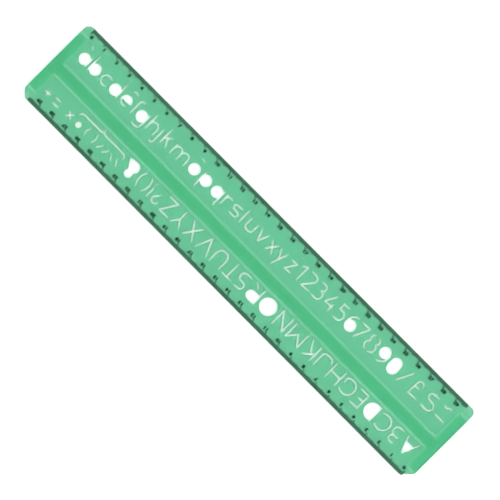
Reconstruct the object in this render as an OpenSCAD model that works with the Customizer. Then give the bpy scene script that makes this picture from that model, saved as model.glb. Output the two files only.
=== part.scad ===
// Lettering stencil: a long flat plate moulded in one piece from clear tinted plastic.
// Lower-case letters and figures are cut through it in one row, capitals and signs in the other.
// The capitals row and its scale read with the stencil turned half round.
// Origin at the middle of the underside, X along the length, Y towards the lower-case edge.

/* [Plate] */
// Length over the two ends
plate_length = 308; // [306:1:380]
// Width over the two measuring edges
plate_width = 55; // [54:0.5:70]
// Thickness of the two lettered panels
panel_thickness = 1.4; // [1.2:0.1:1.7]
// Thickness of the middle rib and the end bars
rib_thickness = 2; // [1.9:0.1:3]
// Thickness left at the outside of each measuring edge
edge_thickness = 0.9; // [0.6:0.1:1.1]
// Width of the slope that thins each measuring edge
bevel_width = 5.6; // [5:0.1:6.4]
// Width of the flat top of the middle rib
rib_width = 6.4; // [4:0.1:6.8]
// How far the rib lies from mid-width, towards the capitals
rib_shift = 2.5; // [2:0.1:2.8]
// Width of the slope from a panel up to the rib or an end bar
rib_slope = 1.6; // [0.8:0.1:1.8]
// Length of the thick bar at each end
end_bar = 5.2; // [3:0.1:5.6]

/* [Corners] */
// Corner cut beside the start of the lower-case row
start_corner = 2.4; // [1:0.1:4]
// Corner cut at the other end of the lower-case row
end_corner = 2; // [1:0.1:4.5]
// Corner cut beside the end of the capitals row
capital_end_corner = 4; // [1:0.1:4.5]
// Corner cut beside the start of the capitals row
capital_start_corner = 6; // [3:0.1:6.1]

/* [Lettering] */
// Width of the slots that a pen point runs in
pen_slot = 1.1; // [0.9:0.05:1.3]
// Height of a small letter between the middles of its slots
small_height = 6.1; // [5.6:0.1:6.4]
// Height of capitals and figures between the middles of their slots
capital_height = 9.4; // [9:0.1:9.7]
// Depth of the tails below the small letters' line
tail_depth = 3.5; // [3.2:0.1:4]
// Distance from the lower-case edge to the line that its letters stand on
small_line = 18.85; // [18.6:0.05:19.2]
// Distance from the capitals edge to the line that its letters stand on
capital_line = 18.75; // [18.6:0.05:18.9]

/* [Scales] */
// Measured length of each printed scale
scale_length = 297; // [200:1:297]
// Distance from the end of the plate to the nought of its scale
scale_start = 4.9; // [4.5:0.1:8]
// Length of the marks at whole millimetres
tick_short = 2.2; // [1.5:0.1:2.3]
// Length of the marks at every fifth millimetre
tick_middle = 2.8; // [2.4:0.1:2.9]
// Length of the marks at every centimetre
tick_long = 3.3; // [3:0.1:3.6]
// Width of one printed mark
tick_width = 0.55; // [0.2:0.01:0.6]
// Bare margin between the outer edge and the marks
tick_margin = 0.1; // [0.05:0.05:0.4]
// Thickness of the printed ink
ink_thickness = 0.04; // [0.03:0.01:0.06]

/* [Hidden] */
$fn = 48;
through = 1;
spread = plate_length / 308;
grid = capital_height / 94;
half = pen_slot / 2;
small_mid = small_height / 2;
bowl_radius = small_mid + half;
bevel_rise = panel_thickness - edge_thickness;
bevel_angle = atan(bevel_rise / bevel_width);
bevel_run = bevel_width / cos(bevel_angle);
edge_y = plate_width / 2;
end_x = plate_length / 2;
rib_y = -rib_shift;
turn_width = pen_slot + 0.01;
bulge_low = 0.29 * capital_height;
bulge_high = 0.21 * capital_height;
curl_low = 0.275 * capital_height;
curl_high = 0.225 * capital_height;
big_radius = capital_height / 2;
stem_right = bowl_radius + small_mid;
accent = small_height + 36 * grid;

// Strokes of a letter, drawn on a grid of 94 squares to the height of a capital

// Round end or turn of a slot, a hair wider so that it crosses the slot's sides
module dot(x, y, size = turn_width) {
    translate([x, y]) circle(d = size);
}

// Straight slots from point to point, with a round turn at each point
module path(points) {
    for (i = [1 : len(points) - 1]) {
        from = points[i - 1];
        step = points[i] - from;
        turn = atan2(step[1], step[0]);
        translate(from) rotate(turn) translate([0, -half]) square([norm(step), pen_slot]);
    }
    for (p = points) dot(p[0], p[1]);
}

module stem(x, low, high) {
    path([[x, low], [x, high]]);
}

module wedge(reach, from, to) {
    steps = 6;
    rim = [for (i = [0 : steps]) from + (to - from) * i / steps];
    polygon(concat([[0, 0]], [for (a = rim) reach * [cos(a), sin(a)]]));
}

// Curved slot, anticlockwise from one angle to the other, for a path to join
module bow(x, y, radius, from, to) {
    translate([x, y]) intersection() {
        difference() {
            circle(r = radius + half);
            circle(r = radius - half);
        }
        wedge(2 * radius + 2 * pen_slot, from, to);
    }
}

module bow_end(x, y, radius, angle) {
    dot(x + radius * cos(angle), y + radius * sin(angle));
}

// Curved slot with both ends free
module open_bow(x, y, radius, from, to) {
    bow(x, y, radius, from, to);
    bow_end(x, y, radius, from);
    bow_end(x, y, radius, to);
}

// Round hole of a letter, whose rim the pen follows
module bowl(x, y = small_mid) {
    translate([x, y]) circle(r = bowl_radius);
}

// Small letters, each standing on y = 0 with its left side at x = 0

module letter_a() {
    bowl(bowl_radius);
    stem(stem_right, 0, small_height);
    path([[18 * grid, accent + 12 * grid], [30 * grid, accent]]);
}

module letter_b() {
    bowl(half + small_mid);
    stem(half, 0, capital_height);
}

module letter_c() {
    open_bow(bowl_radius, small_mid, small_mid, 52, 308);
}

module letter_d() {
    bowl(bowl_radius);
    stem(stem_right, 0, capital_height);
}

module letter_e() {
    tongue_top = small_mid - 6 * grid;
    intersection() {
        bowl(bowl_radius);
        translate([-bowl_radius / 2, tongue_top]) square([3 * bowl_radius, 2 * bowl_radius]);
    }
    bow(bowl_radius, small_mid, small_mid, 170, 300);
    bow_end(bowl_radius, small_mid, small_mid, 300);
    path([[32 * grid, accent], [47 * grid, accent + 7 * grid], [62 * grid, accent]]);
}

module letter_f() {
    hook = 17 * grid;
    stem(half, 0, capital_height - hook);
    bow(half + hook, capital_height - hook, hook, 90, 180);
    path([[half + hook, capital_height], [half + hook + 8 * grid, capital_height]]);
}

module letter_g() {
    hook = 22 * grid;
    bowl(bowl_radius);
    stem(stem_right, hook - tail_depth, small_height);
    bow(stem_right - hook, hook - tail_depth, hook, 270, 360);
    path([[stem_right - hook, -tail_depth], [stem_right - hook - 27 * grid, -tail_depth]]);
}

module arch(x, radius) {
    dot(x, small_height - radius);
    bow(x + radius, small_height - radius, radius, 0, 180);
    stem(x + 2 * radius, 0, small_height - radius);
}

module letter_h() {
    stem(half, 0, capital_height);
    arch(half, 28 * grid);
}

module letter_j() {
    hook = 17 * grid;
    side = half + 22.5 * grid;
    stem(side, hook - tail_depth, small_height);
    bow(side - hook, hook - tail_depth, hook, 270, 360);
    path([[side - hook, -tail_depth], [half, -tail_depth]]);
}

module letter_k() {
    stem(half, 0, capital_height);
    path([[half, 36 * grid], [43 * grid, small_height]]);
    path([[22 * grid, 47 * grid], [48 * grid, 0]]);
}

module letter_m() {
    leg = 26 * grid;
    stem(half, 0, small_height);
    arch(half, leg);
    bow(half + 3 * leg, small_height - leg, leg, 0, 180);
    stem(half + 4 * leg, 0, small_height - leg);
}

module letter_o() {
    bowl(bowl_radius);
    path([[26 * grid, accent + 9 * grid], [48 * grid, accent + 2 * grid]]);
}

module letter_p() {
    bowl(half + small_mid);
    stem(half, -tail_depth, small_height);
}

module letter_q() {
    bowl(bowl_radius);
    stem(stem_right, -tail_depth, small_height);
}

module letter_r() {
    arm = 24 * grid;
    stem(half, 0, small_height);
    open_bow(half + arm, small_height - arm, arm, 60, 180);
}

// Two curls joined by a level stroke, as in an S
module curls(low_round, high_round, low_x, top_x) {
    turn = half + high_round;
    top = 2 * (low_round + high_round);
    path([[turn, top], [top_x, top]]);
    bow(turn, top - high_round, high_round, 90, 270);
    path([[turn, 2 * low_round], [low_x, 2 * low_round]]);
    bow(low_x, low_round, low_round, -90, 90);
    path([[low_x, 0], [half + 2 * grid, 0]]);
}

module letter_s() {
    curl = small_height / 4;
    curls(curl, curl, half + curl + 19 * grid, half + curl + 30 * grid);
}

module letter_t() {
    stem(half, 0, capital_height - 14 * grid);
}

module letter_u() {
    corner = 20 * grid;
    width = 54 * grid;
    stem(half, corner, small_height);
    bow(half + corner, corner, corner, 180, 270);
    path([[half + corner, 0], [half + width - corner, 0]]);
    bow(half + width - corner, corner, corner, 270, 360);
    stem(half + width, corner, small_height);
}

module letter_v() {
    path([[half, small_height], [half + 25 * grid, 0], [half + 50 * grid, small_height]]);
}

module letter_x() {
    path([[half, small_height], [half + 46 * grid, 0]]);
    path([[half, 0], [half + 46 * grid, small_height]]);
}

module letter_y() {
    path([[half, small_height], [33 * grid, 10 * grid]]);
    path([[17 * grid, -tail_depth], [53 * grid, small_height]]);
}

module letter_z() {
    path([[half, small_height], [half + 40 * grid, small_height], [half, 0], [half + 42 * grid, 0]]);
}

// Figures

module figure_one() {
    path([[half, capital_height - 15 * grid], [30 * grid, capital_height], [30 * grid, 0]]);
}

module figure_two() {
    turn = 25 * grid;
    bow_x = 33 * grid;
    low_x = bow_x + turn * cos(40);
    low_y = capital_height - turn - turn * sin(40);
    foot = low_x - low_y / tan(50);
    path([[half, capital_height], [bow_x, capital_height]]);
    bow(bow_x, capital_height - turn, turn, -40, 90);
    path([[low_x, low_y], [foot, 0], [61 * grid, 0]]);
}

// Right-hand side of a three or a B: a small bulge over a larger one
module two_bulges(high_x, low_x) {
    bow(high_x, capital_height - bulge_high, bulge_high, -70, 90);
    bow(low_x, bulge_low, bulge_low, -90, 75);
    path([
        [high_x + bulge_high * cos(70), capital_height - bulge_high - bulge_high * sin(70)],
        [low_x + bulge_low * cos(75), bulge_low + bulge_low * sin(75)]
    ]);
}

module figure_three() {
    path([[half, capital_height], [28 * grid, capital_height]]);
    two_bulges(28 * grid, 31 * grid);
    path([[half, 0], [31 * grid, 0]]);
}

module figure_four() {
    path([[40 * grid, capital_height], [half, 30 * grid], [59 * grid, 30 * grid]]);
    stem(53 * grid, 0, 46 * grid);
}

module figure_five() {
    bulge = 0.314 * capital_height;
    path([[41 * grid, capital_height], [half, capital_height], [half, 2 * bulge], [24 * grid, 2 * bulge]]);
    bow(24 * grid, bulge, bulge, -90, 90);
    path([[half, 0], [24 * grid, 0]]);
}

module figure_six() {
    sweep = 45 * grid;
    bowl(bowl_radius);
    stem(half, small_mid, capital_height - sweep);
    bow(half + sweep, capital_height - sweep, sweep, 95, 180);
    bow_end(half + sweep, capital_height - sweep, sweep, 95);
}

module figure_seven() {
    path([[half, capital_height], [58.5 * grid, capital_height], [15 * grid, 0]]);
}

// One side of an eight, broken in the middle so that no island falls out
module half_eight(high_x, low_x) {
    high_y = capital_height - bulge_high;
    bow(high_x, high_y, bulge_high, 105, 240);
    bow_end(high_x, high_y, bulge_high, 105);
    path([
        [high_x + bulge_high * cos(240), high_y + bulge_high * sin(240)],
        [low_x + bulge_low * cos(120), bulge_low + bulge_low * sin(120)]
    ]);
    bow(low_x, bulge_low, bulge_low, 120, 260);
    bow_end(low_x, bulge_low, bulge_low, 260);
}

module figure_eight() {
    half_eight(30 * grid, 33 * grid);
    translate([80 * grid, 0]) mirror([1, 0]) half_eight(31 * grid, 32 * grid);
}

module figure_nine() {
    translate([2 * bowl_radius, capital_height]) rotate(180) figure_six();
}

module figure_nought() {
    long = capital_height - small_height;
    bowl(bowl_radius);
    bowl(bowl_radius, small_mid + long);
    translate([0, small_mid]) square([2 * bowl_radius, long]);
}

// Signs of the lower-case row

module sign_slash() {
    path([[half, 0], [53 * grid, capital_height]]);
}

module sign_pound() {
    top = 20 * grid;
    bow(32 * grid, capital_height - top, top, 0, 180);
    bow_end(32 * grid, capital_height - top, top, 0);
    path([[32 * grid - top, capital_height - top], [9 * grid, 0], [68 * grid, 0]]);
    path([[11 * grid, 51 * grid], [40 * grid, 53 * grid]]);
}

module sign_dollar() {
    curls(curl_low, curl_high, 47 * grid, 62 * grid);
    stem(35 * grid, capital_height, capital_height + 12 * grid);
    stem(35 * grid, -11 * grid, 0);
}

module sign_tilde() {
    wave = 16 * grid;
    middle = capital_height;
    low_y = middle - 6 * grid + wave;
    high_y = middle + 6 * grid - wave;
    open_bow(26 * grid, low_y, wave, 205, 308);
    bow(54 * grid, high_y, wave, 52, 128);
    bow_end(54 * grid, high_y, wave, 52);
    path([
        [26 * grid + wave * cos(308), low_y + wave * sin(308)],
        [54 * grid + wave * cos(128), high_y + wave * sin(128)]
    ]);
}

module sign_dash() {
    path([[half, 18 * grid], [69 * grid, 18 * grid]]);
}

// Capitals

module letter_A() {
    apex = 45 * grid;
    splay = 39.5 * grid;
    fill = 26 * grid;
    inner = splay * (1 - fill / capital_height);
    path([[apex - splay, 0], [apex, capital_height], [apex + splay, 0]]);
    polygon([[apex, capital_height], [apex - inner, fill], [apex + inner, fill]]);
}

module letter_B() {
    path([[half + 2 * grid, capital_height], [29 * grid, capital_height]]);
    two_bulges(29 * grid, 31 * grid);
    path([[half, 2 * bulge_low], [31 * grid, 2 * bulge_low]]);
    path([[12 * grid, 0], [31 * grid, 0]]);
}

module letter_C() {
    open_bow(half + big_radius, big_radius, big_radius, 50, 310);
}

module letter_D() {
    flat = 28 * grid;
    translate([0, -half]) square([flat, capital_height + pen_slot]);
    intersection() {
        translate([flat, big_radius]) circle(r = big_radius + half);
        translate([flat, -capital_height]) square(3 * capital_height);
    }
}

module letter_E() {
    path([[61 * grid, capital_height], [half, capital_height], [half, 0], [62 * grid, 0]]);
    path([[half, big_radius], [39 * grid, big_radius]]);
}

module letter_G() {
    middle = half + big_radius;
    side = middle + big_radius * cos(312);
    bow(middle, big_radius, big_radius, 52, 312);
    bow_end(middle, big_radius, big_radius, 52);
    stem(side, big_radius + big_radius * sin(312), big_radius - 6 * grid);
}

module letter_H() {
    stem(half, 0, capital_height);
    stem(77.5 * grid, 0, capital_height);
    path([[half, big_radius], [77.5 * grid, big_radius]]);
}

module letter_J() {
    corner = 25 * grid;
    side = 75.5 * grid;
    stem(side, corner, capital_height);
    bow(side - corner, corner, corner, 270, 360);
    path([[half + corner, 0], [side - corner, 0]]);
    bow(half + corner, corner, corner, 195, 270);
    bow_end(half + corner, corner, corner, 195);
}

module letter_K() {
    stem(half, 0, capital_height);
    path([[half, 50 * grid], [61 * grid, capital_height]]);
    path([[26 * grid, 66 * grid], [69 * grid, 0]]);
}

module letter_M() {
    width = 93 * grid;
    path([
        [half, 0],
        [half, capital_height],
        [half + width / 2, 38 * grid],
        [half + width, capital_height],
        [half + width, 0]
    ]);
}

module letter_N() {
    width = 72 * grid;
    path([[half, 0], [half, capital_height], [half + width, 0], [half + width, capital_height]]);
}

module letter_O() {
    translate([big_radius + half, big_radius]) circle(r = big_radius + half);
}

module letter_R() {
    round = 31 * grid;
    flat = 48 * grid;
    base = capital_height + half - 2 * round;
    stem(half, 0, base + round);
    translate([0, base]) square([flat, 2 * round]);
    intersection() {
        translate([flat, base + round]) circle(r = round);
        translate([flat, 0]) square(2 * capital_height);
    }
    path([[45 * grid, 15 * grid], [67 * grid, -4 * grid]]);
}

module letter_S() {
    curls(curl_low, curl_high, 38 * grid, 52 * grid);
}

module letter_T() {
    stem(37.5 * grid, 0, capital_height);
    path([[half, capital_height], [69.5 * grid, capital_height]]);
}

module letter_U() {
    round = 37 * grid;
    stem(half, round, capital_height);
    bow(half + round, round, round, 180, 360);
    stem(half + 2 * round, round, capital_height);
}

module letter_V() {
    path([[half, capital_height], [46 * grid, 0], [85 * grid, capital_height]]);
}

module letter_X() {
    path([[half, capital_height], [73.5 * grid, 0]]);
    path([[half, 0], [73.5 * grid, capital_height]]);
}

module letter_Y() {
    fork = 53 * grid;
    path([[half, capital_height], [37 * grid, fork], [69 * grid, capital_height]]);
    path([[37 * grid, fork], [37 * grid, 0]]);
}

module letter_Z() {
    path([[half, capital_height], [67 * grid, capital_height], [9 * grid, 0], [72 * grid, 0]]);
}

// Signs of the capitals row

module sign_question() {
    turn = 21 * grid;
    bow_x = half + turn;
    bow(bow_x, capital_height - turn, turn, -45, 170);
    bow_end(bow_x, capital_height - turn, turn, 170);
    path([[bow_x + turn * cos(45), capital_height - turn - turn * sin(45)], [22 * grid, 36 * grid]]);
}

module sign_exclamation() {
    stem(half, 34 * grid, capital_height);
    dot(half, 3 * grid, 1.3 * pen_slot);
}

module sign_bracket(radius, reach, middle) {
    open_bow(half + radius, middle, radius, 180 - reach, 180 + reach);
}

module sign_and() {
    translate([36 * grid, 75 * grid]) circle(r = 26 * grid);
    translate([34 * grid, 28.5 * grid]) circle(r = 34 * grid);
    translate([76 * grid, 9 * grid]) circle(r = 11 * grid);
    polygon([
        [27 * grid, 49 * grid],
        [60 * grid, 49 * grid],
        [84.5 * grid, 16 * grid],
        [76 * grid, -2 * grid],
        [36 * grid, -5 * grid]
    ]);
}

module sign_quotes(lean) {
    high = capital_height + 3 * grid;
    low = capital_height - 26 * grid;
    path([[half, high], [half + lean, low]]);
    path([[half + 42 * grid, high], [half + 42 * grid + lean, low]]);
}

module sign_times() {
    span = 35 * grid;
    low = capital_height - span + grid;
    path([[half, low], [half + span, low + span]]);
    path([[half, low + span], [half + span, low]]);
}

module sign_equals() {
    path([[half, capital_height + grid], [43 * grid, capital_height + grid]]);
    path([[16 * grid, capital_height - 32 * grid], [51 * grid, capital_height - 32 * grid]]);
}

module sign_plus() {
    arm = 16.5 * grid;
    middle = capital_height - 18 * grid;
    path([[half, middle], [half + 2 * arm, middle]]);
    stem(half + arm, middle - arm, middle + arm);
}

// Long brace lying on its side, pointing down
module sign_brace() {
    level = 17.5 * grid;
    end_round = 21 * grid;
    point_round = 20 * grid;
    middle = half + 180 * grid;
    far = half + 346 * grid;
    bow(half + end_round, level + end_round, end_round, 180, 270);
    bow_end(half + end_round, level + end_round, end_round, 180);
    path([[half + end_round, level], [middle - point_round, level]]);
    bow(middle - point_round, level - point_round, point_round, 0, 90);
    dot(middle, level - point_round);
    bow(middle + point_round, level - point_round, point_round, 90, 180);
    path([[middle + point_round, level], [far - end_round, level]]);
    bow(far - end_round, level + end_round, end_round, 270, 360);
    bow_end(far - end_round, level + end_round, end_round, 360);
}

// The two rows, read from the end of the plate where each one starts

// Each letter's start, in mm from the end of a plate 308 long, follows the real length
module at(x) {
    translate([x * spread, 0]) children();
}

module small_row() {
    at(8.7) letter_a();
    at(17.15) letter_b();
    at(25.9) letter_c();
    at(33.1) letter_d();
    at(42) letter_e();
    at(51.2) letter_f();
    at(54.2) letter_g();
    at(63.2) letter_h();
    at(69.3) letter_j();
    at(74.65) letter_k();
    at(82.7) letter_m();
    at(96.1) letter_o();
    at(105.25) letter_p();
    at(114.1) letter_q();
    at(122.9) letter_r();
    at(129.6) letter_s();
    at(137.6) letter_t();
    at(141.5) letter_u();
    at(150.1) letter_v();
    at(158.6) letter_x();
    at(165.5) letter_y();
    at(174.1) letter_z();
    at(181) figure_one();
    at(187) figure_two();
    at(195.2) figure_three();
    at(203.3) figure_four();
    at(212.4) figure_five();
    at(220) figure_six();
    at(227.4) figure_seven();
    at(235.55) figure_eight();
    at(244.9) figure_nine();
    at(253.7) figure_nought();
    at(262.8) sign_slash();
    at(272.1) sign_pound();
    at(282.2) sign_dollar();
    at(291.6) sign_tilde();
    at(292.1) sign_dash();
}

module capital_row() {
    at(8.8) letter_A();
    at(20.1) letter_B();
    at(27.75) letter_C();
    at(38.45) letter_D();
    at(48.4) letter_E();
    at(55.8) letter_G();
    at(66.4) letter_H();
    at(76.05) letter_J();
    at(86.15) letter_K();
    at(96.2) letter_M();
    at(108.55) letter_N();
    at(119.1) letter_O();
    at(131.1) letter_R();
    at(141.4) letter_S();
    at(149.2) letter_T();
    at(158.4) letter_U();
    at(168.7) letter_V();
    at(180.15) letter_X();
    at(190.35) letter_Y();
    at(199.5) letter_Z();
    at(209) sign_question();
    at(216.25) sign_exclamation();
    at(218.9) sign_bracket(81 * grid, 34.5, big_radius);
    at(227.3) mirror([1, 0]) sign_bracket(81 * grid, 34.5, big_radius);
    at(229.3) sign_and();
    at(240.3) sign_quotes(20 * grid);
    at(256.5) mirror([1, 0]) sign_quotes(20 * grid);
    at(258.7) sign_bracket(39 * grid, 35, capital_height - 20 * grid);
    at(266.9) mirror([1, 0]) sign_bracket(39 * grid, 38, capital_height - 20 * grid);
    at(272) dot(0, capital_height - 12 * grid, 38 * grid);
    at(276.8) sign_times();
    at(286.6) sign_equals();
    at(294.3) sign_plus();
    at(240.2) sign_brace();
}

module place_small_row() {
    translate([-end_x, edge_y - small_line]) children();
}

module place_capital_row() {
    rotate(180) translate([-end_x, edge_y - capital_line]) children();
}

// The plate

module outline() {
    polygon([
        [-end_x + capital_end_corner, -edge_y],
        [end_x - capital_start_corner, -edge_y],
        [end_x, -edge_y + capital_start_corner],
        [end_x, edge_y - end_corner],
        [end_x - end_corner, edge_y],
        [-end_x + start_corner, edge_y],
        [-end_x, edge_y - start_corner],
        [-end_x, -edge_y + capital_end_corner]
    ]);
}

// Section across the plate, drawn as Y and Z, run out along X
module along_plate(length) {
    rotate([90, 0, 90]) translate([0, 0, -length / 2]) linear_extrude(height = length) children();
}

// Section of a long side seen from the end bars, drawn as X and Z, run out along Y
module across_plate(length) {
    rotate([90, 0, 0]) translate([0, 0, -length / 2]) linear_extrude(height = length) children();
}

module panel_section() {
    polygon([
        [-edge_y, 0],
        [edge_y, 0],
        [edge_y, edge_thickness],
        [edge_y - bevel_width, panel_thickness],
        [-edge_y + bevel_width, panel_thickness],
        [-edge_y, edge_thickness]
    ]);
}

module raised_section(low, high) {
    polygon([
        [low - rib_slope, 0],
        [high + rib_slope, 0],
        [high + rib_slope, panel_thickness],
        [high, rib_thickness],
        [low, rib_thickness],
        [low - rib_slope, panel_thickness]
    ]);
}

module rib() {
    along_plate(plate_length) raised_section(rib_y - rib_width / 2, rib_y + rib_width / 2);
}

module end_bars() {
    low = -edge_y + bevel_width + rib_slope;
    inner = end_x - end_bar;
    difference() {
        along_plate(plate_length) raised_section(low, -low);
        across_plate(2 * plate_width) polygon([
            [-inner, 2 * rib_thickness],
            [-inner, rib_thickness],
            [-inner + rib_slope, panel_thickness],
            [-inner + rib_slope, -through],
            [inner - rib_slope, -through],
            [inner - rib_slope, panel_thickness],
            [inner, rib_thickness],
            [inner, 2 * rib_thickness]
        ]);
    }
}

module stencil_plate() {
    color("mediumseagreen") difference() {
        intersection() {
            union() {
                along_plate(plate_length) panel_section();
                rib();
                end_bars();
            }
            linear_extrude(height = 2 * rib_thickness) outline();
        }
        translate([0, 0, -through]) linear_extrude(height = rib_thickness + 2 * through) {
            place_small_row() small_row();
            place_capital_row() capital_row();
        }
    }
}

// Printed scales on the sloping edges, marks numbered at each centimetre

module marks() {
    for (i = [0 : scale_length]) {
        size = i % 10 == 0 ? tick_long : i % 5 == 0 ? tick_middle : tick_short;
        translate([i - tick_width / 2, -tick_margin - size]) square([tick_width, size]);
    }
}

module scale_print() {
    translate([-end_x + scale_start, edge_y, edge_thickness]) rotate([-bevel_angle, 0, 0])
        linear_extrude(height = ink_thickness) marks();
}

module small_letter_scale() {
    color("darkslategray") scale_print();
}

module capital_letter_scale() {
    color("darkslategray") rotate(180) scale_print();
}

stencil_plate();
small_letter_scale();
capital_letter_scale();
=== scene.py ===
# A lettering stencil of clear green plastic, lying on white paper and seen from straight above.
# The plate is one moulding, built again here with its small round edges. The scales are printed.

import math

import bpy
import numpy as np
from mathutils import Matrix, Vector
from mathutils.geometry import delaunay_2d_cdt


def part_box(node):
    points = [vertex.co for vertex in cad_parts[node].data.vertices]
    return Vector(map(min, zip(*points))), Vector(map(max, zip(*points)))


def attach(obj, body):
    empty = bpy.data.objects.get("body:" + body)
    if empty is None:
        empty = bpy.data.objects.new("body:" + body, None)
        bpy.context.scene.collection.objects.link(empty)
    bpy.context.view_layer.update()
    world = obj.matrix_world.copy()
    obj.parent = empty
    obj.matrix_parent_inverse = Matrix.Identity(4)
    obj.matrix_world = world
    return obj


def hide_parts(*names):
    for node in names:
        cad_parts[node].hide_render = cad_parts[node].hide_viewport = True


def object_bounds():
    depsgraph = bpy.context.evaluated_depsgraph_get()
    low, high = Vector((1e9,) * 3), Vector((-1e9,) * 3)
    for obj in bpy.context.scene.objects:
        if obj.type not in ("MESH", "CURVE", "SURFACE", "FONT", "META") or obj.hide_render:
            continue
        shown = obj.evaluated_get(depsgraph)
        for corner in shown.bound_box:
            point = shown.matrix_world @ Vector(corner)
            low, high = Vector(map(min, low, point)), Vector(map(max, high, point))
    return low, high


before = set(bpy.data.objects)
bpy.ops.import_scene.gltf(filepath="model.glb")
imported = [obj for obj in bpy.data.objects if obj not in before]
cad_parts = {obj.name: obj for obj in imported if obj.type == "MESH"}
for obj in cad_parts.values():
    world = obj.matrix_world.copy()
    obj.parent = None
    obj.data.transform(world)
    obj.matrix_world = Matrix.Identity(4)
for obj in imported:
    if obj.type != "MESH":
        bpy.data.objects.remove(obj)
cad_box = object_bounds()
MM = 0.001


# Paper and light
# The stencil lies on a wide sheet of white paper in a tent of soft light, open above for the
# camera, with one broad window to the side. All the paper has painted pale green light, standing in
# for the light the green plastic throws on it; it is lost in the white where the paper is well lit
# and leaves the paper pale green in the narrow slots.

paper_side = 6
paper_below = 0.06 * MM
paper_white = 0.8
# Strength and colour of the painted pale green light on the paper, standing in for the light the green
# plastic throws on it.
painted_plastic_light = 0.13
painted_plastic_light_colour = (0.25, 1, 0.55, 1)

# Each pair is a height, from 0 at the horizon to 1 straight above, and the light's level there.
tent_light = ((0, 1), (0.3, 1.05), (0.5, 1.4), (0.6, 2.7), (0.72, 2.7), (0.8, 1.4), (0.945, 0.15))
brightest = 3

window_side = 1.6
window_place = (1.25, 0.9, 1.2)
window_power = 14


def shader_tree(owner):
    owner.use_nodes = True
    tree = owner.node_tree
    tree.nodes.clear()
    return tree


def wire(tree, source, target):
    tree.links.new(source, target)


def paper_material():
    """Matt white paper, with painted pale green light for the light the plastic throws on it, added for
    camera, glossy and transmission rays.
    """
    material = bpy.data.materials.new("white_paper")
    tree = shader_tree(material)
    matt = tree.nodes.new("ShaderNodeBsdfDiffuse")
    matt.inputs["Color"].default_value = (paper_white, paper_white, paper_white, 1)
    rays = tree.nodes.new("ShaderNodeLightPath")
    seen = rays.outputs["Is Camera Ray"]
    for ray in ("Is Glossy Ray", "Is Transmission Ray"):
        either = tree.nodes.new("ShaderNodeMath")
        either.operation = "MAXIMUM"
        wire(tree, seen, either.inputs[0])
        wire(tree, rays.outputs[ray], either.inputs[1])
        seen = either.outputs[0]
    # The painted green light, seen by camera, glossy and transmission rays only.
    level = tree.nodes.new("ShaderNodeMath")
    level.operation = "MULTIPLY"
    level.inputs[1].default_value = painted_plastic_light
    wire(tree, seen, level.inputs[0])
    lit = tree.nodes.new("ShaderNodeEmission")
    lit.inputs["Color"].default_value = painted_plastic_light_colour
    wire(tree, level.outputs[0], lit.inputs["Strength"])
    both = tree.nodes.new("ShaderNodeAddShader")
    wire(tree, matt.outputs[0], both.inputs[0])
    wire(tree, lit.outputs[0], both.inputs[1])
    wire(tree, both.outputs[0], tree.nodes.new("ShaderNodeOutputMaterial").inputs["Surface"])
    return material


def make_paper():
    mesh = bpy.data.meshes.new("paper")
    half_side = paper_side / 2
    corners = [(x * half_side, y * half_side) for x, y in ((-1, -1), (1, -1), (1, 1), (-1, 1))]
    mesh.from_pydata([(x, y, -paper_below) for x, y in corners], [], [(0, 1, 2, 3)])
    mesh.materials.append(paper_material())
    paper = bpy.data.objects.new("paper", mesh)
    bpy.context.scene.collection.objects.link(paper)


def make_tent():
    """Pale light from all round, strongest in a ring round the camera's opening."""
    world = bpy.data.worlds.new("light_tent")
    bpy.context.scene.world = world
    tree = shader_tree(world)
    place = tree.nodes.new("ShaderNodeTexCoord")
    parts = tree.nodes.new("ShaderNodeSeparateXYZ")
    wire(tree, place.outputs["Generated"], parts.inputs[0])
    level = tree.nodes.new("ShaderNodeFloatCurve")
    curve = level.mapping.curves[0]
    curve.points[0].location = (0, tent_light[0][1] / brightest)
    curve.points[1].location = (1, tent_light[-1][1] / brightest)
    for height, light in tent_light[1:]:
        curve.points.new(height, light / brightest)
    for point in curve.points:
        point.handle_type = "VECTOR"
    level.mapping.update()
    wire(tree, parts.outputs["Z"], level.inputs["Value"])
    scaled = tree.nodes.new("ShaderNodeMath")
    scaled.operation = "MULTIPLY"
    scaled.inputs[1].default_value = brightest
    wire(tree, level.outputs[0], scaled.inputs[0])
    light = tree.nodes.new("ShaderNodeBackground")
    light.inputs["Color"].default_value = (1, 1, 1, 1)
    wire(tree, scaled.outputs[0], light.inputs["Strength"])
    wire(tree, light.outputs[0], tree.nodes.new("ShaderNodeOutputWorld").inputs["Surface"])


def make_window():
    lamp = bpy.data.lights.new("window", "AREA")
    lamp.shape = "SQUARE"
    lamp.size = window_side
    lamp.energy = window_power
    window = bpy.data.objects.new("window", lamp)
    window.location = window_place
    window.rotation_mode = "QUATERNION"
    window.rotation_quaternion = Vector(window_place).to_track_quat("Z", "Y")
    bpy.context.scene.collection.objects.link(window)


make_paper()
make_tent()
make_window()


# Camera
# It looks straight down through a long lens. The stencil's length runs from the top left of the
# picture to the bottom right, as in the photograph.

view_width = 280.4 * MM
view_turn = math.radians(45.15)
centre_right = -1.18 * MM
centre_up = -1.40 * MM
lens = 100
sensor = 36

camera = bpy.data.objects.new("camera", bpy.data.cameras.new("camera"))
camera.data.lens = lens
camera.data.sensor_width = sensor
right = Vector((math.cos(view_turn), math.sin(view_turn), 0))
up = Vector((-math.sin(view_turn), math.cos(view_turn), 0))
above = cad_box[1][2] + view_width * lens / sensor
camera.location = -centre_right * right - centre_up * up + Vector((0, 0, above))
camera.rotation_euler = (0, 0, view_turn)
bpy.context.scene.collection.objects.link(camera)
bpy.context.scene.camera = camera
bpy.context.scene.view_settings.view_transform = "Standard"


# Stencil plate
# One injection moulding of clear green plastic: two thinner lettered panels, a thick middle rib
# and end bars, two sloping measuring edges, and the letters cut right through.

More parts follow.
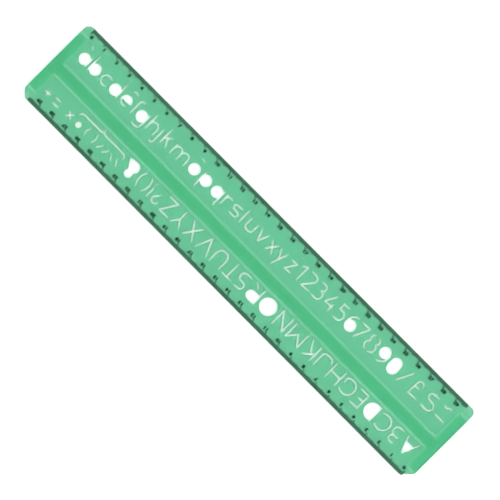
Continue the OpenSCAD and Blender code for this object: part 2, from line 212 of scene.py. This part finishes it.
# Sizes in millimetres, the same as the CAD model's.
plate_low, plate_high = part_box("stencil_plate")
plate_length = (plate_high[0] - plate_low[0]) / MM
plate_width = (plate_high[1] - plate_low[1]) / MM
rib_thickness = (plate_high[2] - plate_low[2]) / MM
end_x = plate_length / 2
edge_y = plate_width / 2
panel_thickness = 1.4
edge_thickness = 0.9
bevel_width = 5.6
rib_y = -2.5
rib_half = 3.2
rib_slope = 1.6
end_bar = 5.2
start_corner = 2.4
end_corner = 2
capital_start_corner = 6
capital_end_corner = 4
corner_round = 1
edge_round = 0.16
under_round = 0.06
pen_slot = 1.1
small_height = 6.1
capital_height = 9.4
tail_depth = 3.5
small_line = 18.85
capital_line = 18.75

# Every letter is drawn along the middle of its slots, so most strokes start half a slot in.
half = pen_slot / 2
small_mid = small_height / 2
bowl_radius = small_mid + half
stem_right = bowl_radius + small_mid
accent = small_height + 3.6
big_radius = capital_height / 2
bulge_low = 0.29 * capital_height
bulge_high = 0.21 * capital_height
curl_low = 0.275 * capital_height
curl_high = 0.225 * capital_height


# A cut-out is a list of strokes. A pad is a convex shape with a rim round it, a bow a curved slot.
def path(*points):
    return [("pad", points[i : i + 2], half) for i in range(len(points) - 1)]


def stem(x, low, high):
    return path((x, low), (x, high))


def bow(x, y, radius, start, stop):
    return [("bow", (x, y), radius, start, stop)]


def disc(x, y, radius):
    return [("pad", ((x, y),), radius)]


def bowl(x, y=small_mid):
    return disc(x, y, bowl_radius)


def solid(*points):
    return [("pad", points, 0)]


def rim(x, y, radius, start, stop, steps=24):
    """Points round an arc, for the outline of a filled letter."""
    turns = [math.radians(start + (stop - start) * i / steps) for i in range(steps + 1)]
    return [(x + radius * math.cos(a), y + radius * math.sin(a)) for a in turns]


def on_bow(x, y, radius, angle):
    a = math.radians(angle)
    return x + radius * math.cos(a), y + radius * math.sin(a)


def mirrored(strokes):
    flipped = []
    for kind, place, radius, *angles in strokes:
        if kind == "pad":
            flipped.append(("pad", [(-x, y) for x, y in reversed(place)], radius))
        else:
            start, stop = angles
            flipped.append(("bow", (-place[0], place[1]), radius, 180 - stop, 180 - start))
    return flipped


def shifted(strokes, right_by, up_by=0):
    moved = []
    for kind, place, radius, *angles in strokes:
        if kind == "pad":
            moved.append(("pad", [(x + right_by, y + up_by) for x, y in place], radius))
        else:
            moved.append(("bow", (place[0] + right_by, place[1] + up_by), radius, *angles))
    return moved


def turned(strokes):
    """The strokes turned half round the origin."""
    opposite = []
    for kind, place, radius, *angles in strokes:
        if kind == "pad":
            opposite.append(("pad", [(-x, -y) for x, y in place], radius))
        else:
            start, stop = angles
            opposite.append(("bow", (-place[0], -place[1]), radius, start + 180, stop + 180))
    return opposite


# Small letters
def letter_a():
    return bowl(bowl_radius) + stem(stem_right, 0, small_height) + path((1.8, accent + 1.2), (3, accent))


def letter_b():
    return bowl(half + small_mid) + stem(half, 0, capital_height)


def letter_c():
    return bow(bowl_radius, small_mid, small_mid, 52, 308)


def letter_d():
    return bowl(bowl_radius) + stem(stem_right, 0, capital_height)


def letter_e():
    tongue_top = -0.6
    side = math.degrees(math.asin(tongue_top / bowl_radius))
    upper = solid(*rim(bowl_radius, small_mid, bowl_radius, side, 180 - side, steps=40))
    hook = bow(bowl_radius, small_mid, small_mid, 180 - side / 2, 300)
    return upper + hook + path((3.2, accent), (4.7, accent + 0.7), (6.2, accent))


def letter_f():
    hook = 1.7
    top = path((half + hook, capital_height), (half + hook + 0.8, capital_height))
    turn = bow(half + hook, capital_height - hook, hook, 90, 180)
    return stem(half, 0, capital_height - hook) + turn + top


def letter_g():
    hook = 2.2
    turn = bow(stem_right - hook, hook - tail_depth, hook, 270, 360)
    foot = path((stem_right - hook, -tail_depth), (stem_right - hook - 2.7, -tail_depth))
    return bowl(bowl_radius) + stem(stem_right, hook - tail_depth, small_height) + turn + foot


def arch(x, radius, start=180):
    turn = bow(x + radius, small_height - radius, radius, 0, start)
    return turn + stem(x + 2 * radius, 0, small_height - radius)


def letter_h():
    return stem(half, 0, capital_height) + arch(half, 2.8)


def letter_j():
    hook = 1.7
    side = half + 2.25
    turn = bow(side - hook, hook - tail_depth, hook, 270, 360)
    foot = path((side - hook, -tail_depth), (half, -tail_depth))
    return stem(side, hook - tail_depth, small_height) + turn + foot


def letter_k():
    arm = path((half, 3.6), (4.3, small_height))
    return stem(half, 0, capital_height) + arm + path((2.2, 4.7), (4.8, 0))


def letter_m():
    leg = 2.6
    second = bow(half + 3 * leg, small_height - leg, leg, 0, 180)
    second += stem(half + 4 * leg, 0, small_height - leg)
    return stem(half, 0, small_height) + arch(half, leg) + second


def letter_o():
    return bowl(bowl_radius) + path((2.6, accent + 0.9), (4.8, accent + 0.2))


def letter_p():
    return bowl(half + small_mid) + stem(half, -tail_depth, small_height)


def letter_q():
    return bowl(bowl_radius) + stem(stem_right, -tail_depth, small_height)


def letter_r():
    arm = 2.4
    return stem(half, 0, small_height) + bow(half + arm, small_height - arm, arm, 60, 180)


def curls(low_round, high_round, low_x, top_x):
    turn = half + high_round
    top = 2 * (low_round + high_round)
    waist = 2 * low_round
    upper = path((turn, top), (top_x, top)) + bow(turn, top - high_round, high_round, 90, 270)
    lower = path((turn, waist), (low_x, waist)) + bow(low_x, low_round, low_round, -90, 90)
    return upper + lower + path((low_x, 0), (half + 0.2, 0))


def letter_s():
    curl = small_height / 4
    return curls(curl, curl, half + curl + 1.9, half + curl + 3)


def letter_t():
    return stem(half, 0, capital_height - 1.4)


def letter_u():
    corner = 2
    far = half + 5.4
    left = stem(half, corner, small_height) + bow(half + corner, corner, corner, 180, 270)
    foot = path((half + corner, 0), (far - corner, 0)) + bow(far - corner, corner, corner, 270, 360)
    return left + foot + stem(far, corner, small_height)


def letter_v():
    return path((half, small_height), (half + 2.5, 0), (half + 5, small_height))


def letter_x():
    return path((half, small_height), (half + 4.6, 0)) + path((half, 0), (half + 4.6, small_height))


def letter_y():
    return path((half, small_height), (3.3, 1)) + path((1.7, -tail_depth), (5.3, small_height))


def letter_z():
    return path((half, small_height), (half + 4, small_height), (half, 0), (half + 4.2, 0))


# Figures
def figure_one():
    return path((half, capital_height - 1.5), (3, capital_height), (3, 0))


def figure_two():
    turn = 2.5
    bow_x = 3.3
    low_x, low_y = on_bow(bow_x, capital_height - turn, turn, -40)
    foot = low_x - low_y / math.tan(math.radians(50))
    top = path((half, capital_height), (bow_x, capital_height))
    top += bow(bow_x, capital_height - turn, turn, -40, 90)
    return top + path((low_x, low_y), (foot, 0), (6.1, 0))


def two_bulges(high_x, low_x):
    high_y = capital_height - bulge_high
    waist = path(on_bow(high_x, high_y, bulge_high, -70), on_bow(low_x, bulge_low, bulge_low, 75))
    return bow(high_x, high_y, bulge_high, -70, 90) + bow(low_x, bulge_low, bulge_low, -90, 75) + waist


def figure_three():
    top = path((half, capital_height), (2.8, capital_height))
    return top + two_bulges(2.8, 3.1) + path((half, 0), (3.1, 0))


def figure_four():
    return path((4, capital_height), (half, 3), (5.9, 3)) + stem(5.3, 0, 4.6)


def figure_five():
    bulge = 0.314 * capital_height
    flag = path((4.1, capital_height), (half, capital_height), (half, 2 * bulge), (2.4, 2 * bulge))
    return flag + bow(2.4, bulge, bulge, -90, 90) + path((half, 0), (2.4, 0))


def figure_six():
    sweep = 4.5
    turn = bow(half + sweep, capital_height - sweep, sweep, 95, 180)
    return bowl(bowl_radius) + stem(half, small_mid, capital_height - sweep) + turn


def figure_seven():
    return path((half, capital_height), (5.85, capital_height), (1.5, 0))


def half_eight(high_x, low_x):
    high_y = capital_height - bulge_high
    waist = path(on_bow(high_x, high_y, bulge_high, 240), on_bow(low_x, bulge_low, bulge_low, 120))
    return bow(high_x, high_y, bulge_high, 105, 240) + waist + bow(low_x, bulge_low, bulge_low, 120, 260)


def figure_eight():
    return half_eight(3, 3.3) + shifted(mirrored(half_eight(3.1, 3.2)), 8)


def figure_nine():
    return shifted(turned(figure_six()), 2 * bowl_radius, capital_height)


def figure_nought():
    high = small_mid + capital_height - small_height
    left = rim(bowl_radius, small_mid, bowl_radius, 180, 360)
    return solid(*(left + rim(bowl_radius, high, bowl_radius, 0, 180)))


# Signs beside the small letters
def sign_slash():
    return path((half, 0), (5.3, capital_height))


def sign_pound():
    top = 2
    turn = bow(3.2, capital_height - top, top, 0, 180)
    leg = path((3.2 - top, capital_height - top), (0.9, 0), (6.8, 0))
    return turn + leg + path((1.1, 5.1), (4, 5.3))


def sign_dollar():
    posts = stem(3.5, capital_height, capital_height + 1.2) + stem(3.5, -1.1, 0)
    return curls(curl_low, curl_high, 4.7, 6.2) + posts


def sign_tilde():
    wave = 1.6
    low_y = capital_height - 0.6 + wave
    high_y = capital_height + 0.6 - wave
    middle = path(on_bow(2.6, low_y, wave, 308), on_bow(5.4, high_y, wave, 128))
    return bow(2.6, low_y, wave, 205, 308) + middle + bow(5.4, high_y, wave, 52, 128)


def sign_dash():
    return path((half, 1.8), (6.9, 1.8))


# Capitals
def letter_A():
    apex = 4.5
    splay = 3.95
    fill = 2.6
    spread = splay * (1 - fill / capital_height)
    inside = solid((apex, capital_height), (apex - spread, fill), (apex + spread, fill))
    return path((apex - splay, 0), (apex, capital_height), (apex + splay, 0)) + inside


def letter_B():
    top = path((half + 0.2, capital_height), (2.9, capital_height))
    waist = path((half, 2 * bulge_low), (3.1, 2 * bulge_low))
    return top + two_bulges(2.9, 3.1) + waist + path((1.2, 0), (3.1, 0))


def letter_C():
    return bow(half + big_radius, big_radius, big_radius, 50, 310)


def letter_D():
    flat = 2.8
    back = [(0, capital_height + half), (0, -half)]
    return solid(*(back + rim(flat, big_radius, big_radius + half, -90, 90, steps=36)))


def letter_E():
    outer = path((6.1, capital_height), (half, capital_height), (half, 0), (6.2, 0))
    return outer + path((half, big_radius), (3.9, big_radius))


def letter_G():
    middle = half + big_radius
    side, low = on_bow(middle, big_radius, big_radius, 312)
    return bow(middle, big_radius, big_radius, 52, 312) + stem(side, low, big_radius - 0.6)


def letter_H():
    posts = stem(half, 0, capital_height) + stem(7.75, 0, capital_height)
    return posts + path((half, big_radius), (7.75, big_radius))


def letter_J():
    corner = 2.5
    side = 7.55
    foot = bow(side - corner, corner, corner, 270, 360) + path((half + corner, 0), (side - corner, 0))
    return stem(side, corner, capital_height) + foot + bow(half + corner, corner, corner, 195, 270)


def letter_K():
    arm = path((half, 5), (6.1, capital_height))
    return stem(half, 0, capital_height) + arm + path((2.6, 6.6), (6.9, 0))


def letter_M():
    side = half + 9.3
    middle = half + 9.3 / 2
    return path((half, 0), (half, capital_height), (middle, 3.8), (side, capital_height), (side, 0))


def letter_N():
    side = half + 7.2
    return path((half, 0), (half, capital_height), (side, 0), (side, capital_height))


def letter_O():
    return disc(big_radius + half, big_radius, big_radius + half)


def letter_R():
    turn = 3.1
    flat = 4.8
    base = capital_height + half - 2 * turn
    back = [(0, base + 2 * turn), (0, base)]
    bulge = solid(*(back + rim(flat, base + turn, turn, -90, 90)))
    return stem(half, 0, base + turn) + bulge + path((4.5, 1.5), (6.7, -0.4))


def letter_S():
    return curls(curl_low, curl_high, 3.8, 5.2)


def letter_T():
    return stem(3.75, 0, capital_height) + path((half, capital_height), (6.95, capital_height))


def letter_U():
    turn = 3.7
    posts = stem(half, turn, capital_height) + stem(half + 2 * turn, turn, capital_height)
    return posts + bow(half + turn, turn, turn, 180, 360)


def letter_V():
    return path((half, capital_height), (4.6, 0), (8.5, capital_height))


def letter_X():
    return path((half, capital_height), (7.35, 0)) + path((half, 0), (7.35, capital_height))


def letter_Y():
    fork = 5.3
    return path((half, capital_height), (3.7, fork), (6.9, capital_height)) + path((3.7, fork), (3.7, 0))


def letter_Z():
    return path((half, capital_height), (6.7, capital_height), (0.9, 0), (7.2, 0))


# Signs beside the capitals
def sign_question():
    turn = 2.1
    bow_x = half + turn
    tail = path(on_bow(bow_x, capital_height - turn, turn, -45), (2.2, 3.6))
    return bow(bow_x, capital_height - turn, turn, -45, 170) + tail


def sign_exclamation():
    return stem(half, 3.4, capital_height) + disc(half, 0.3, 0.65 * pen_slot)


def sign_bracket(radius, reach, middle):
    return bow(half + radius, middle, radius, 180 - reach, 180 + reach)


def sign_and():
    rounds = disc(3.6, 7.5, 2.6) + disc(3.4, 2.85, 3.4) + disc(7.6, 0.9, 1.1)
    return rounds + solid((2.7, 4.9), (3.6, -0.5), (7.6, -0.2), (8.45, 1.6), (6, 4.9))


def sign_quotes(lean):
    high = capital_height + 0.3
    low = capital_height - 2.6
    return path((half, high), (half + lean, low)) + path((half + 4.2, high), (half + 4.2 + lean, low))


def sign_times():
    span = 3.5
    low = capital_height - span + 0.1
    rising = path((half, low), (half + span, low + span))
    return rising + path((half, low + span), (half + span, low))


def sign_equals():
    upper = path((half, capital_height + 0.1), (4.3, capital_height + 0.1))
    return upper + path((1.6, capital_height - 3.2), (5.1, capital_height - 3.2))


def sign_plus():
    arm = 1.65
    middle = capital_height - 1.8
    return path((half, middle), (half + 2 * arm, middle)) + stem(half + arm, middle - arm, middle + arm)


def sign_brace():
    level = 1.75
    end_round = 2.1
    point_round = 2
    middle = half + 18
    far = half + 34.6
    left_arm = bow(half + end_round, level + end_round, end_round, 180, 270)
    left_arm += path((half + end_round, level), (middle - point_round, level))
    point = bow(middle - point_round, level - point_round, point_round, 0, 90)
    point += bow(middle + point_round, level - point_round, point_round, 90, 180)
    right_arm = path((middle + point_round, level), (far - end_round, level))
    right_arm += bow(far - end_round, level + end_round, end_round, 270, 360)
    return left_arm + point + right_arm


# Where each cut-out starts, in millimetres from the end where its row begins, and its strokes.
small_row = [
    (8.7, letter_a()), (17.15, letter_b()), (25.9, letter_c()), (33.1, letter_d()),
    (42, letter_e()), (51.2, letter_f()), (54.2, letter_g()), (63.2, letter_h()),
    (69.3, letter_j()), (74.65, letter_k()), (82.7, letter_m()), (96.1, letter_o()),
    (105.25, letter_p()), (114.1, letter_q()), (122.9, letter_r()), (129.6, letter_s()),
    (137.6, letter_t()), (141.5, letter_u()), (150.1, letter_v()), (158.6, letter_x()),
    (165.5, letter_y()), (174.1, letter_z()), (181, figure_one()), (187, figure_two()),
    (195.2, figure_three()), (203.3, figure_four()), (212.4, figure_five()), (220, figure_six()),
    (227.4, figure_seven()), (235.55, figure_eight()), (244.9, figure_nine()),
    (253.7, figure_nought()), (262.8, sign_slash()), (272.1, sign_pound()),
    (282.2, sign_dollar()), (291.6, sign_tilde()), (292.1, sign_dash()),
]
capital_row = [
    (8.8, letter_A()), (20.1, letter_B()), (27.75, letter_C()), (38.45, letter_D()),
    (48.4, letter_E()), (55.8, letter_G()), (66.4, letter_H()), (76.05, letter_J()),
    (86.15, letter_K()), (96.2, letter_M()), (108.55, letter_N()), (119.1, letter_O()),
    (131.1, letter_R()), (141.4, letter_S()), (149.2, letter_T()), (158.4, letter_U()),
    (168.7, letter_V()), (180.15, letter_X()), (190.35, letter_Y()), (199.5, letter_Z()),
    (209, sign_question()), (216.25, sign_exclamation()),
    (218.9, sign_bracket(8.1, 34.5, big_radius)), (227.3, mirrored(sign_bracket(8.1, 34.5, big_radius))),
    (229.3, sign_and()), (240.3, sign_quotes(2)), (256.5, mirrored(sign_quotes(2))),
    (258.7, sign_bracket(3.9, 35, capital_height - 2)),
    (266.9, mirrored(sign_bracket(3.9, 38, capital_height - 2))),
    (272, disc(0, capital_height - 1.2, 1.9)), (276.8, sign_times()), (286.6, sign_equals()),
    (294.3, sign_plus()), (240.2, sign_brace()),
]

cuts = []
for start, strokes in small_row:
    cuts += shifted(strokes, start - end_x, edge_y - small_line)
for start, strokes in capital_row:
    cuts += turned(shifted(strokes, start - end_x, edge_y - capital_line))


# How finely the round stretches are drawn, in points or degrees.
circle_steps = 56
cap_step = 20
bow_step = 7.5
slight_turn = 15


def arc_points(x, y, radius, start, stop, step):
    count = max(2, math.ceil(abs(stop - start) / step))
    return rim(x, y, radius, start, stop, count)


def pad_outline(core, radius):
    """Outline of a convex shape, anticlockwise, grown all round by radius."""
    if len(core) == 1:
        return rim(*core[0], radius, 0, 360, circle_steps)[:-1]
    points = []
    count = len(core)
    for i, (x, y) in enumerate(core):
        before, after = core[i - 1], core[(i + 1) % count]
        first = math.degrees(math.atan2(y - before[1], x - before[0])) - 90
        last = math.degrees(math.atan2(after[1] - y, after[0] - x)) - 90
        turn = (last - first) % 360
        if radius == 0:
            points.append((x, y))
        elif turn < slight_turn:
            reach = radius / math.cos(math.radians(turn / 2))
            points.append(on_bow(x, y, reach, first + turn / 2))
        else:
            points += arc_points(x, y, radius, first, first + turn, cap_step)
    return points


def bow_outline(x, y, radius, start, stop, rim_width):
    """Outline of a curved slot with round ends, anticlockwise."""
    far = on_bow(x, y, radius, stop)
    near = on_bow(x, y, radius, start)
    points = arc_points(x, y, radius + rim_width, start, stop, bow_step)
    points += arc_points(*far, rim_width, stop, stop + 180, cap_step)[1:-1]
    points += arc_points(x, y, radius - rim_width, stop, start, bow_step)
    points += arc_points(*near, rim_width, start + 180, start + 360, cap_step)[1:-1]
    return points


def stroke_outline(stroke, grow):
    if stroke[0] == "pad":
        return pad_outline(stroke[1], stroke[2] + grow)
    return bow_outline(*stroke[1], *stroke[2:], half + grow)


def pad_distance(spots, core, radius):
    """Distance from each spot to the edge of a pad, less than nought inside it."""
    core = np.array(core)
    if len(core) == 1:
        return np.hypot(*(spots - core[0]).T) - radius
    nearest = np.full(len(spots), np.inf)
    inside = np.full(len(spots), len(core) > 2)
    for a, b in zip(core, np.roll(core, -1, axis=0)):
        side = b - a
        along = np.clip((spots - a) @ side / (side @ side), 0, 1)
        nearest = np.minimum(nearest, np.hypot(*(spots - a - along[:, None] * side).T))
        inside &= side[0] * (spots[:, 1] - a[1]) - side[1] * (spots[:, 0] - a[0]) >= 0
    return np.where(inside, -nearest, nearest) - radius


def bow_distance(spots, centre, radius, start, stop):
    away = spots - np.array(centre)
    angle = (np.degrees(np.arctan2(away[:, 1], away[:, 0])) - start) % 360
    ring = np.abs(np.hypot(*away.T) - radius)
    ends = [np.hypot(*(spots - np.array(on_bow(*centre, radius, a))).T) for a in (start, stop)]
    return np.where(angle <= stop - start, ring, np.minimum(*ends)) - half


def stroke_distance(stroke, spots):
    if stroke[0] == "pad":
        return pad_distance(spots, stroke[1], stroke[2])
    return bow_distance(spots, *stroke[1:])


def plate_core():
    """The plate's outline drawn in by the radius of its corners."""
    points = [
        (-end_x + capital_end_corner, -edge_y), (end_x - capital_start_corner, -edge_y),
        (end_x, -edge_y + capital_start_corner), (end_x, edge_y - end_corner),
        (end_x - end_corner, edge_y), (-end_x + start_corner, edge_y),
        (-end_x, edge_y - start_corner), (-end_x, -edge_y + capital_end_corner),
    ]
    drawn_in = []
    for i, (x, y) in enumerate(points):
        before, after = points[i - 1], points[(i + 1) % len(points)]
        first = math.atan2(y - before[1], x - before[0])
        last = math.atan2(after[1] - y, after[0] - x)
        middle = first + ((last - first) % (2 * math.pi)) / 2 + math.pi / 2
        reach = corner_round / math.cos(((last - first) % (2 * math.pi)) / 2)
        drawn_in.append((x + reach * math.cos(middle), y + reach * math.sin(middle)))
    return drawn_in


def top_heights(spots):
    """Height of the plate's upper face over each spot, before its edges are rounded."""
    x, y = np.abs(spots[:, 0]), spots[:, 1]
    rise = (rib_thickness - panel_thickness) / rib_slope
    inner_y = edge_y - bevel_width - rib_slope
    slope = edge_thickness + (edge_y - np.abs(y)) * (panel_thickness - edge_thickness) / bevel_width
    rib = rib_thickness - (np.abs(y - rib_y) - rib_half) * rise
    bar = rib_thickness - np.maximum(np.abs(y) - inner_y, end_x - end_bar - x) * rise
    raised = np.minimum(np.maximum(rib, bar), rib_thickness)
    raised = np.where(np.abs(y) < edge_y - bevel_width, raised, 0)
    return np.maximum(np.minimum(slope, panel_thickness), raised)


def crease_lines():
    """Lines along which the upper face changes its slope, as pairs of points."""
    outer_y = edge_y - bevel_width
    inner_y = outer_y - rib_slope
    bar_x = end_x - end_bar
    foot_x = bar_x - rib_slope
    past_end_x = end_x + 1
    lines = []
    for sign in (-1, 1):
        lines.append(((-past_end_x, sign * outer_y), (past_end_x, sign * outer_y)))
        lines.append(((sign * foot_x, -outer_y), (sign * foot_x, outer_y)))
        lines.append(((sign * bar_x, -outer_y), (sign * bar_x, outer_y)))
        for side in (-1, 1):
            lines.append(((sign * bar_x, side * inner_y), (sign * past_end_x, side * inner_y)))
            lines.append(((sign * foot_x, side * outer_y), (sign * bar_x, side * inner_y)))
            top_y = rib_y + side * rib_half
            foot_y = rib_y + side * (rib_half + rib_slope)
            lines.append(((sign * foot_x, foot_y), (sign * bar_x, top_y)))
    for side in (-1, 1):
        top_y = rib_y + side * rib_half
        foot_y = rib_y + side * (rib_half + rib_slope)
        lines.append(((-bar_x, top_y), (bar_x, top_y)))
        lines.append(((-foot_x, foot_y), (foot_x, foot_y)))
    return lines


# Points closer together than this, in millimetres, are one. Only what is inside a shape is kept.
join_distance = 0.0005
inside_only = 1


def plan_triangles():
    """The plate seen from above as triangles, with lines along every rounded edge."""
    core = plate_core()
    steps = [edge_round * (1 - math.cos(math.radians(a))) for a in (0, 45, 90)]
    spots, lines, shapes = [], [], []

    def add_shape(points):
        shapes.append(list(range(len(spots), len(spots) + len(points))))
        spots.extend(points)

    for step in steps:
        add_shape(pad_outline(core, corner_round - step))
    outlines = len(shapes)
    for stroke in cuts:
        add_shape(stroke_outline(stroke, 0))
    holes = len(shapes)
    for step in steps[1:]:
        for stroke in cuts:
            add_shape(stroke_outline(stroke, step))
    for a, b in crease_lines():
        lines.append((len(spots), len(spots) + 1))
        spots.extend((a, b))
    flat_spots = [Vector(spot) for spot in spots]
    found = delaunay_2d_cdt(flat_spots, lines, shapes, inside_only, join_distance, True)
    met_spots, _, faces, _, _, face_shapes = found
    kept = []
    for face, within in zip(faces, face_shapes):
        if 0 in within and not any(outlines <= shape < holes for shape in within):
            kept.append(face)
    return np.array([tuple(spot) for spot in met_spots]), kept, core


def edge_drop(distance, radius):
    """How far a quarter-round edge has fallen away, at each distance in from the edge."""
    inward = np.clip(distance, 0, radius)
    return radius - np.sqrt(np.maximum(radius**2 - (radius - inward) ** 2, 0))


# How far past a cut-out's rounded edge to look, and how near to its start still counts as level,
# in millimetres. The bends are angles between two faces, in radians, above which they stay sharp.
reach_margin = 0.01
level_margin = 0.002
crease_bend = 0.02
corner_bend = math.radians(50)


def mark_sharp_edges(mesh, level):
    """Keep edges sharp at the plate's creases and where a level face meets a rounded one."""
    beside = {}
    for polygon in mesh.polygons:
        for key in polygon.edge_keys:
            beside.setdefault(key, []).append(polygon)
    for edge in mesh.edges:
        pair = beside.get(tuple(sorted(edge.vertices)), [])
        if len(pair) == 2:
            first, second = pair
            bend = first.normal.angle(second.normal, 0)
            mixed = level[first.index] != level[second.index]
            creased = level[first.index] and bend > crease_bend
            edge.use_edge_sharp = mixed or creased or bend > corner_bend


def build_plate():
    """The plan's triangles lifted to the upper face, laid down for the underside, and walled in."""
    spots, faces, core = plan_triangles()
    distance = -pad_distance(spots, core, corner_round)
    for stroke in cuts:
        outline = np.array(stroke_outline(stroke, edge_round + reach_margin))
        close = np.all((spots >= outline.min(0)) & (spots <= outline.max(0)), axis=1)
        distance[close] = np.minimum(distance[close], stroke_distance(stroke, spots[close]))
    used = sorted({i for face in faces for i in face})
    order = {old: new for new, old in enumerate(used)}
    faces = [[order[i] for i in face] for face in faces]
    spots, distance = spots[used], distance[used]
    top = top_heights(spots) - edge_drop(distance, edge_round)
    under = edge_drop(distance, under_round)
    count = len(spots)
    places = [(x, y, z) for (x, y), z in zip(spots, top)]
    places += [(x, y, z) for (x, y), z in zip(spots, under)]
    open_edges = {}
    for face in faces:
        for i in range(3):
            a, b = face[i], face[(i + 1) % 3]
            if open_edges.pop((b, a), None) is None:
                open_edges[(a, b)] = True
    skin = list(faces)
    skin += [[i + count for i in reversed(face)] for face in faces]
    skin += [[b, a, a + count, b + count] for a, b in open_edges]
    mesh = bpy.data.meshes.new("stencil_plate_moulding")
    mesh.from_pydata([Vector(p) * MM for p in places], [], skin)
    mesh.validate()
    mesh.shade_smooth()
    unrounded = np.concatenate([distance, distance]) >= edge_round - level_margin
    mark_sharp_edges(mesh, [all(unrounded[i] for i in face) for face in skin])
    plate = bpy.data.objects.new("moulded_plate", mesh)
    bpy.context.scene.collection.objects.link(plate)
    return plate


tint_colour = (0.193, 0.848, 0.587, 1)
tint_density = 600
smear_scale = 90
smear_gloss = (0.03, 0.09)
ripple_scale = 260
ripple_depth = 0.2 * MM


def speckle(tree, scale, detail):
    """A fine uneven pattern that stays with the object."""
    place = tree.nodes.new("ShaderNodeTexCoord")
    pattern = tree.nodes.new("ShaderNodeTexNoise")
    pattern.inputs["Scale"].default_value = scale
    pattern.inputs["Detail"].default_value = detail
    wire(tree, place.outputs["Object"], pattern.inputs["Vector"])
    return pattern.outputs["Fac"]


def clear_plastic():
    """Glossy see-through plastic, tinted through its depth, with faint handling marks."""
    material = bpy.data.materials.new("clear_green_plastic")
    tree = shader_tree(material)
    body = tree.nodes.new("ShaderNodeBsdfPrincipled")
    body.inputs["Base Color"].default_value = (1, 1, 1, 1)
    body.inputs["IOR"].default_value = 1.5
    body.inputs["Transmission Weight"].default_value = 1
    gloss = tree.nodes.new("ShaderNodeMapRange")
    gloss.inputs["From Min"].default_value = 0.35
    gloss.inputs["From Max"].default_value = 0.7
    gloss.inputs["To Min"].default_value = smear_gloss[0]
    gloss.inputs["To Max"].default_value = smear_gloss[1]
    wire(tree, speckle(tree, smear_scale, 4), gloss.inputs["Value"])
    wire(tree, gloss.outputs[0], body.inputs["Roughness"])
    bump = tree.nodes.new("ShaderNodeBump")
    bump.inputs["Strength"].default_value = 0.12
    bump.inputs["Distance"].default_value = ripple_depth
    wire(tree, speckle(tree, ripple_scale, 2), bump.inputs["Height"])
    wire(tree, bump.outputs[0], body.inputs["Normal"])
    tint = tree.nodes.new("ShaderNodeVolumeAbsorption")
    tint.inputs["Color"].default_value = tint_colour
    tint.inputs["Density"].default_value = tint_density
    out = tree.nodes.new("ShaderNodeOutputMaterial")
    wire(tree, body.outputs[0], out.inputs["Surface"])
    wire(tree, tint.outputs[0], out.inputs["Volume"])
    return material


plate = build_plate()
plate.data.materials.append(clear_plastic())
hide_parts("stencil_plate")
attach(plate, "root")


# Printed scales
# Millimetre marks and centimetre numbers in dark ink, printed on the two sloping edges. The marks
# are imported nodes, and the numbers are laid on the slope beside them.

scale_start = 4.9
number_count = 30
numbers_apart = 10
number_line = 5.6
number_height = 2.2
number_stretch = 1.25
number_shift = 1.7
number_boldness = 0.05
ink_thickness = 0.04
ink_wear_scale = 1400
thick_ink = (0.0008, 0.002, 0.0015, 1)
thin_ink = (0.003, 0.009, 0.006, 1)


def scale_ink():
    """Matt dark ink, a little thinner in places."""
    material = bpy.data.materials.new("dark_ink")
    tree = shader_tree(material)
    ink = tree.nodes.new("ShaderNodeBsdfPrincipled")
    ink.inputs["Roughness"].default_value = 0.7
    ink.inputs["Specular IOR Level"].default_value = 0.12
    shade = tree.nodes.new("ShaderNodeValToRGB")
    shade.color_ramp.elements[0].position = 0.35
    shade.color_ramp.elements[0].color = thick_ink
    shade.color_ramp.elements[1].position = 0.75
    shade.color_ramp.elements[1].color = thin_ink
    wire(tree, speckle(tree, ink_wear_scale, 3), shade.inputs["Fac"])
    wire(tree, shade.outputs["Color"], ink.inputs["Base Color"])
    wire(tree, ink.outputs[0], tree.nodes.new("ShaderNodeOutputMaterial").inputs["Surface"])
    return material


def number_mesh(text):
    """The points and faces of one number, one unit thick, with its middle at nought."""
    curve = bpy.data.curves.new("number", "FONT")
    curve.body = text
    curve.align_x = "CENTER"
    curve.extrude = 0.5
    curve.offset = number_boldness
    curve.resolution_u = 3
    holder = bpy.data.objects.new("number", curve)
    bpy.context.scene.collection.objects.link(holder)
    shaped = holder.evaluated_get(bpy.context.evaluated_depsgraph_get())
    mesh = bpy.data.meshes.new_from_object(shaped)
    points = np.array([tuple(v.co) for v in mesh.vertices])
    faces = [list(p.vertices) for p in mesh.polygons]
    bpy.data.objects.remove(holder)
    bpy.data.curves.remove(curve)
    bpy.data.meshes.remove(mesh)
    return points, faces


def make_numbers(name, side, material):
    """The numbers of one scale. Side is 1 beside the small letters and -1 beside the capitals."""
    places, faces = [], []
    tall = number_mesh("0")[0]
    unit = number_height / (tall[:, 1].max() - tall[:, 1].min())
    rise = (panel_thickness - edge_thickness) / bevel_width
    for number in range(number_count):
        points, own_faces = number_mesh(str(number))
        across = points[:, 0] * unit * number_stretch
        x = across - end_x + scale_start + numbers_apart * number + number_shift
        y = edge_y - number_line + (points[:, 1] - tall[:, 1].min()) * unit
        lift = points[:, 2] - points[:, 2].min()
        z = edge_thickness + (edge_y - y) * rise + lift * ink_thickness
        faces += [[i + len(places) for i in face] for face in own_faces]
        places += [(side * a, side * b, c) for a, b, c in zip(x, y, z)]
    mesh = bpy.data.meshes.new(name)
    mesh.from_pydata([Vector(p) * MM for p in places], [], faces)
    mesh.materials.append(material)
    numbers = bpy.data.objects.new(name, mesh)
    bpy.context.scene.collection.objects.link(numbers)
    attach(numbers, "root")


ink = scale_ink()
for node in ("small_letter_scale", "capital_letter_scale"):
    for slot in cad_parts[node].material_slots:
        slot.material = ink
make_numbers("small_letter_numbers", 1, ink)
make_numbers("capital_letter_numbers", -1, ink)
